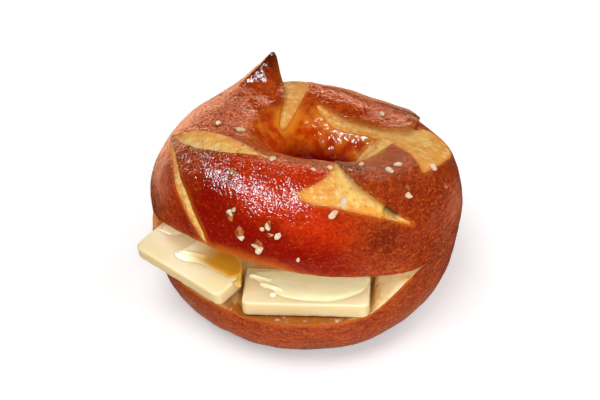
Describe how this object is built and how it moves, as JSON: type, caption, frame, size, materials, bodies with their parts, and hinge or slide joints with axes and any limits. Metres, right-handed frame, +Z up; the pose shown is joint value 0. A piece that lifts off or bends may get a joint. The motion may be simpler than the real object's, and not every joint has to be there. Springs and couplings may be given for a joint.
{
  "type": "pretzel bagel",
  "caption": "Ring-shaped pretzel bagel with a glossy brown snipped crust and coarse salt, cut open at the front and filled with slabs of butter.",
  "frame": {"origin": "centre of the part's box, on the plane that the bagel stands on", "axes": "+Z up, -Y towards the open front, +X to the right seen from the front"},
  "size_m": [0.1068, 0.1028, 0.0664],
  "materials": {
    "crust": "glossy lye-baked crust, deep red brown, with pale golden tears and cream crumb on the cut",
    "butter": "soft pale yellow butter, satin, with melted glossy pools",
    "salt": "coarse off-white salt grains, partly glazed brown by baking"
  },
  "bodies": {
    "root": {"bagel_bread": "crust", "butter_slab_front": "butter", "butter_slab_left": "butter"}
  },
  "joints": []
}
